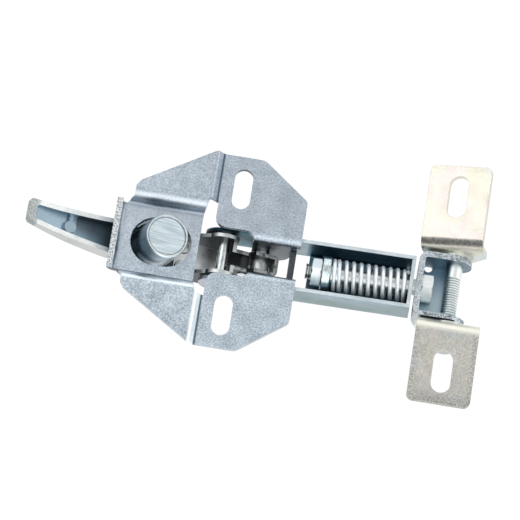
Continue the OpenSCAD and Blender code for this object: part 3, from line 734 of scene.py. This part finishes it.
def gunmetal():
    net = Net("gunmetal")
    stain = net.noise(4, detail=4, roughness=0.6)
    colour = net.mix(net.contrast(stain), (0.035, 0.042, 0.045), (0.085, 0.095, 0.10))
    # Painted light: the crank's low floor, which lies in shade, turned nearly white
    low = net.opposite(net.beyond(LEVER_UP, PIVOT_UP + CRANK_FLOOR, soft=0.5))
    floor = net.both(net.faces(LEVER_UP, 0.7, 0.9), low)
    colour = net.tint(colour, floor, (0.93, 0.94, 0.94), share=0.95)
    # Painted shade on the faces turned towards the grip's tip, near black, and painted light on them past
    # the crank's end
    end = net.beyond(LEVER_ALONG, PIVOT_ALONG + CRANK_END, soft=0.5)
    away_shade_and_light = net.mix(end, (0.010, 0.014, 0.016), (0.60, 0.63, 0.64))
    colour = net.tint(colour, net.faces(-LEVER_ALONG, 0.6, 0.85), away_shade_and_light, share=0.8)
    colour = net.mix(crank_wear(net), colour, (0.62, 0.64, 0.64))
    roughness = net.uneven(stain, smooth=0.26, rough=0.42)
    return net.finish(colour, roughness, net.bump(net.noise(0.7), depth=0.03, strength=0.4))


def crank_wear(net):
    """1 where the crank's upper edges are worn bright, in patches apart from the ears."""
    high = net.beyond(LEVER_UP, PIVOT_UP + CRANK_TOP, soft=1.5)
    ear = net.opposite(net.beyond(LEVER_ALONG, PIVOT_ALONG + CRANK_EAR, soft=0.3))
    patchy = net.rise(net.noise(2.2, detail=3, roughness=0.6, shift=3.0), 0.3, 0.6)
    amount = net.either(net.part(patchy, 0.55), net.part(ear, 0.9))
    return net.both(net.faces(LEVER_UP, 0.4, 0.75), high, amount)


def black_rubber():
    net = Net("black_rubber")
    skin = net.noise(0.5, detail=4, roughness=0.65)
    colour = net.mix(net.rise(skin, 0.35, 0.7), (0.008, 0.008, 0.009), (0.03, 0.03, 0.032))
    roughness = net.uneven(skin, smooth=0.5, rough=0.72)
    return net.finish(colour, roughness, net.bump(skin, depth=0.05, strength=0.5), metallic=0.0)


# Which piece wears what

def slot_materials():
    """The material of each slot in the record, but for tab_zinc, as each tab has its own."""
    return {
        "zinc_sheet": zinc_sheet(),
        "channel_zinc": channel_zinc(),
        "cast_alloy": cast_alloy(),
        "gunmetal": gunmetal(),
        "black_rubber": black_rubber(),
        "bolt_zinc": bolt_zinc("bolt_zinc", dark=(0.56, 0.59, 0.59), light=(0.80, 0.82, 0.79)),
        "bright_steel": bright_steel(
            "bright_steel", dark=(0.58, 0.63, 0.65), light=(0.84, 0.87, 0.88),
        ),
        "lock_metal": lock_metal(
            "lock_metal", dark=(0.66, 0.73, 0.75), light=(0.90, 0.94, 0.95), shaded=(0.12, 0.20, 0.25),
        ),
    }


def node_materials():
    """The materials of the nodes that differ from the rest of their slot."""
    return {
        "yoke": yoke_zinc(),
        "upper_tab": upper_tab_zinc(),
        "lower_tab": lower_tab_zinc(),
        "lock_cap": lock_metal("brushed_cap", dark=(0.46, 0.57, 0.63), light=(0.86, 0.93, 0.96)),
        "lock_ring": ring_shade_steel(),
        # Painted light and shade: a paler copy of the plate for the nut, with painted shade on its upper
        # half
        "adjusting_nut": bolt_zinc(
            "nut_zinc", dark=(0.78, 0.84, 0.86), light=(0.95, 0.98, 0.98), upper=(0.52, 0.59, 0.63),
        ),
        "pull_bolt": bolt_zinc(
            "head_zinc", dark=(0.54, 0.57, 0.57), light=(0.75, 0.78, 0.76), axis=(TOGGLE, CHANNEL_ALONG),
        ),
        # Painted shade on the bolt's -X side
        "swivel_bolt": bolt_zinc(
            "thread_zinc", dark=(0.74, 0.78, 0.78), light=(0.95, 0.98, 0.96),
            flank=(0.14, 0.25, 0.31), axis=(SWIVEL, Y),
        ),
        "pivot_bush": bright_steel(
            "bush_steel", dark=(0.34, 0.37, 0.38), light=(0.60, 0.63, 0.64), smooth=0.3, rough=0.45,
        ),
        "spring_seat": bright_steel("seat_steel", dark=(0.46, 0.54, 0.57), light=(0.68, 0.75, 0.77)),
        # Painted light: a paler, half metallic copy of the drawn steel for the coil
        "compression_spring": bright_steel(
            "spring_steel", dark=(0.80, 0.86, 0.89), light=(0.95, 0.97, 0.98),
            smooth=0.28, rough=0.44, metallic=0.45,
        ),
        "toggle_pin": bright_steel("pin_steel", dark=(0.42, 0.46, 0.47), light=(0.66, 0.69, 0.70)),
    }


def dress():
    """Gives each CAD node its material, and adds the spring."""
    by_slot = slot_materials()
    by_node = node_materials()
    for part in frame["record"]["subparts"]:
        name = part["node"]
        material = by_node[name] if name in by_node else by_slot[part["material_slot"]]
        node = nodes[name]
        node.data.materials.clear()
        node.data.materials.append(material)
    make_spring(by_node["compression_spring"])


# Spring coil, along the channel from the toggle pin, in millimetres

SPRING_START = 54.4
SPRING_LENGTH = 38.6
SPRING_RADIUS = 7.25
WIRE_RADIUS = 0.95
TURNS = 11
CLOSED_PITCH = 2.052
STEPS_PER_TURN = 48
WIRE_SIDES = 14


def coil_place(turn):
    """Place along the spring after that many turns: the first and last turns lie closed."""
    open_pitch = (SPRING_LENGTH - 2 * WIRE_RADIUS - 2 * CLOSED_PITCH) / (TURNS - 2)
    closed = min(turn, 1) + max(0, turn - TURNS + 1)
    return WIRE_RADIUS + CLOSED_PITCH * closed + open_pitch * max(0, min(turn - 1, TURNS - 2))


def coil_point(turn, side):
    """A point on the wire's skin after that many turns."""
    angle = math.tau * turn
    around = math.tau * side / WIRE_SIDES
    along = SPRING_START + coil_place(turn) + WIRE_RADIUS * math.cos(around)
    radius = SPRING_RADIUS + WIRE_RADIUS * math.sin(around)
    outward = Y * radius * math.cos(angle) + CHANNEL_UP * radius * math.sin(angle)
    return TOGGLE + (CHANNEL_ALONG * along + outward) * MM


def coil_faces(steps):
    """Four-sided faces along the wire, and one face at each end."""
    faces = []
    for step in range(steps):
        for side in range(WIRE_SIDES):
            here = step * WIRE_SIDES + side
            beside = step * WIRE_SIDES + (side + 1) % WIRE_SIDES
            faces.append((here, here + WIRE_SIDES, beside + WIRE_SIDES, beside))
    faces.append(tuple(range(WIRE_SIDES)))
    faces.append(tuple(reversed(range(steps * WIRE_SIDES, (steps + 1) * WIRE_SIDES))))
    return faces


def make_spring(material):
    """A smooth coil in the CAD spring's place, attached to the channel's body."""
    steps = TURNS * STEPS_PER_TURN
    points = [
        coil_point(step / STEPS_PER_TURN, side)
        for step in range(steps + 1) for side in range(WIRE_SIDES)
    ]
    mesh = bpy.data.meshes.new("spring_coil")
    mesh.from_pydata(points, [], coil_faces(steps))
    for face in mesh.polygons:
        face.use_smooth = len(face.vertices) == 4
    mesh.materials.append(material)
    coil = bpy.data.objects.new("spring_coil", mesh)
    scene.collection.objects.link(coil)
    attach(coil, "channel")
    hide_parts("compression_spring")
    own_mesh(coil)


# Floor, in metres

FLOOR_HEIGHT = -0.145
FLOOR_RADIUS = 8
RIM_HEIGHT = 0.9
RIM_SIDES = 96
FLOOR_COLOUR = (0.93, 0.93, 0.93)
FLOOR_GLOW = 1.03
GLOW_SHARE = 0.94


def make_floor():
    """A pale round floor, low enough for the open lever, with a low rim that hides the horizon."""
    turns = [math.tau * side / RIM_SIDES for side in range(RIM_SIDES)]
    points = [
        (FLOOR_RADIUS * math.cos(turn), FLOOR_RADIUS * math.sin(turn), FLOOR_HEIGHT + height)
        for height in (0, RIM_HEIGHT) for turn in turns
    ]
    faces = [tuple(range(RIM_SIDES))]
    for side in range(RIM_SIDES):
        after = (side + 1) % RIM_SIDES
        faces.append((after, side, side + RIM_SIDES, after + RIM_SIDES))
    mesh = bpy.data.meshes.new("floor")
    mesh.from_pydata(points, [], faces)
    floor = bpy.data.objects.new("floor", mesh)
    scene.collection.objects.link(floor)
    floor.data.materials.append(floor_white())


def floor_white():
    """White where it is seen, mirrored or seen through, and plain pale paint for the light it returns."""
    net = Net("floor")
    net.tree.nodes.remove(net.shader)
    paint = net.add("ShaderNodeBsdfDiffuse")
    net.put(paint.inputs["Color"], FLOOR_COLOUR)
    glow = net.add("ShaderNodeEmission")
    glow.inputs["Strength"].default_value = FLOOR_GLOW
    path = net.add("ShaderNodeLightPath").outputs
    seen = net.calculate("ADD", path["Is Camera Ray"], path["Is Glossy Ray"], clamp=True)
    seen = net.calculate("ADD", seen, path["Is Transmission Ray"], clamp=True)
    blend = net.add("ShaderNodeMixShader")
    net.put(blend.inputs[0], net.part(seen, GLOW_SHARE))
    net.put(blend.inputs[1], paint.outputs[0])
    net.put(blend.inputs[2], glow.outputs[0])
    net.put(net.tree.nodes["Material Output"].inputs["Surface"], blend.outputs[0])
    return net.mat


# Sky and lamps

SKY_COLOUR = (0.985, 0.995, 1.0, 1)

# Each field: its direction, the cosines where it starts and is full, and its levels outside and inside.
# The bright fields are added to the base, and the dark field is multiplied in.
SKY_BASE = ((0, 0, 1), 0.0, 1.0, 0.42, 0.78)
BRIGHT_FIELDS = (
    ((0, -0.80, 0.60), 0.50, 0.88, 0.0, 0.85),
    ((0, 0.93, 0.37), 0.80, 0.95, 0.0, 0.85),
    ((0.93, 0.28, 0.25), 0.75, 0.95, 0.0, 0.95),
)
DARK_FIELD = ((-0.52, -0.62, 0.58), 0.85, 0.96, 1.0, 0.15)


def sky_field(tree, view, direction, start, full, outside, inside):
    """A field's level, for the direction that view gives."""
    cosine = tree.nodes.new("ShaderNodeVectorMath")
    cosine.operation = "DOT_PRODUCT"
    tree.links.new(view, cosine.inputs[0])
    cosine.inputs[1].default_value = Vector(direction).normalized()
    level = tree.nodes.new("ShaderNodeMapRange")
    level.interpolation_type = "SMOOTHSTEP"
    tree.links.new(cosine.outputs["Value"], level.inputs["Value"])
    level.inputs["From Min"].default_value = start
    level.inputs["From Max"].default_value = full
    level.inputs["To Min"].default_value = outside
    level.inputs["To Max"].default_value = inside
    return level.outputs["Result"]


def join_levels(tree, operation, a, b):
    made = tree.nodes.new("ShaderNodeMath")
    made.operation = operation
    tree.links.new(a, made.inputs[0])
    tree.links.new(b, made.inputs[1])
    return made.outputs[0]


def make_sky():
    """A soft grey studio, with bright and dark fields that the bends, pins and threads mirror."""
    world = bpy.data.worlds.new("studio")
    scene.world = world
    world.use_nodes = True
    tree = world.node_tree
    view = tree.nodes.new("ShaderNodeTexCoord").outputs["Generated"]
    level = sky_field(tree, view, *SKY_BASE)
    for field in BRIGHT_FIELDS:
        level = join_levels(tree, "ADD", level, sky_field(tree, view, *field))
    level = join_levels(tree, "MULTIPLY", level, sky_field(tree, view, *DARK_FIELD))
    background = tree.nodes["Background"]
    background.inputs["Color"].default_value = SKY_COLOUR
    tree.links.new(level, background.inputs["Strength"])


def make_lamp(name, direction, distance, size, power):
    data = bpy.data.lights.new(name, "AREA")
    data.shape = "RECTANGLE"
    data.size = size[0]
    data.size_y = size[1]
    data.energy = power
    lamp = bpy.data.objects.new(name, data)
    back = Vector(direction).normalized()
    lamp.location = back * distance
    lamp.rotation_euler = back.to_track_quat("Z", "Y").to_euler()
    scene.collection.objects.link(lamp)


make_camera()
dress()
make_floor()
make_sky()
make_lamp("softbox_left", direction=(-0.50, 0.33, 0.80), distance=0.9, size=(0.55, 0.6), power=1.2)
make_lamp("fill_front", direction=(0.25, -0.70, 0.68), distance=1.1, size=(0.9, 0.45), power=1.0)
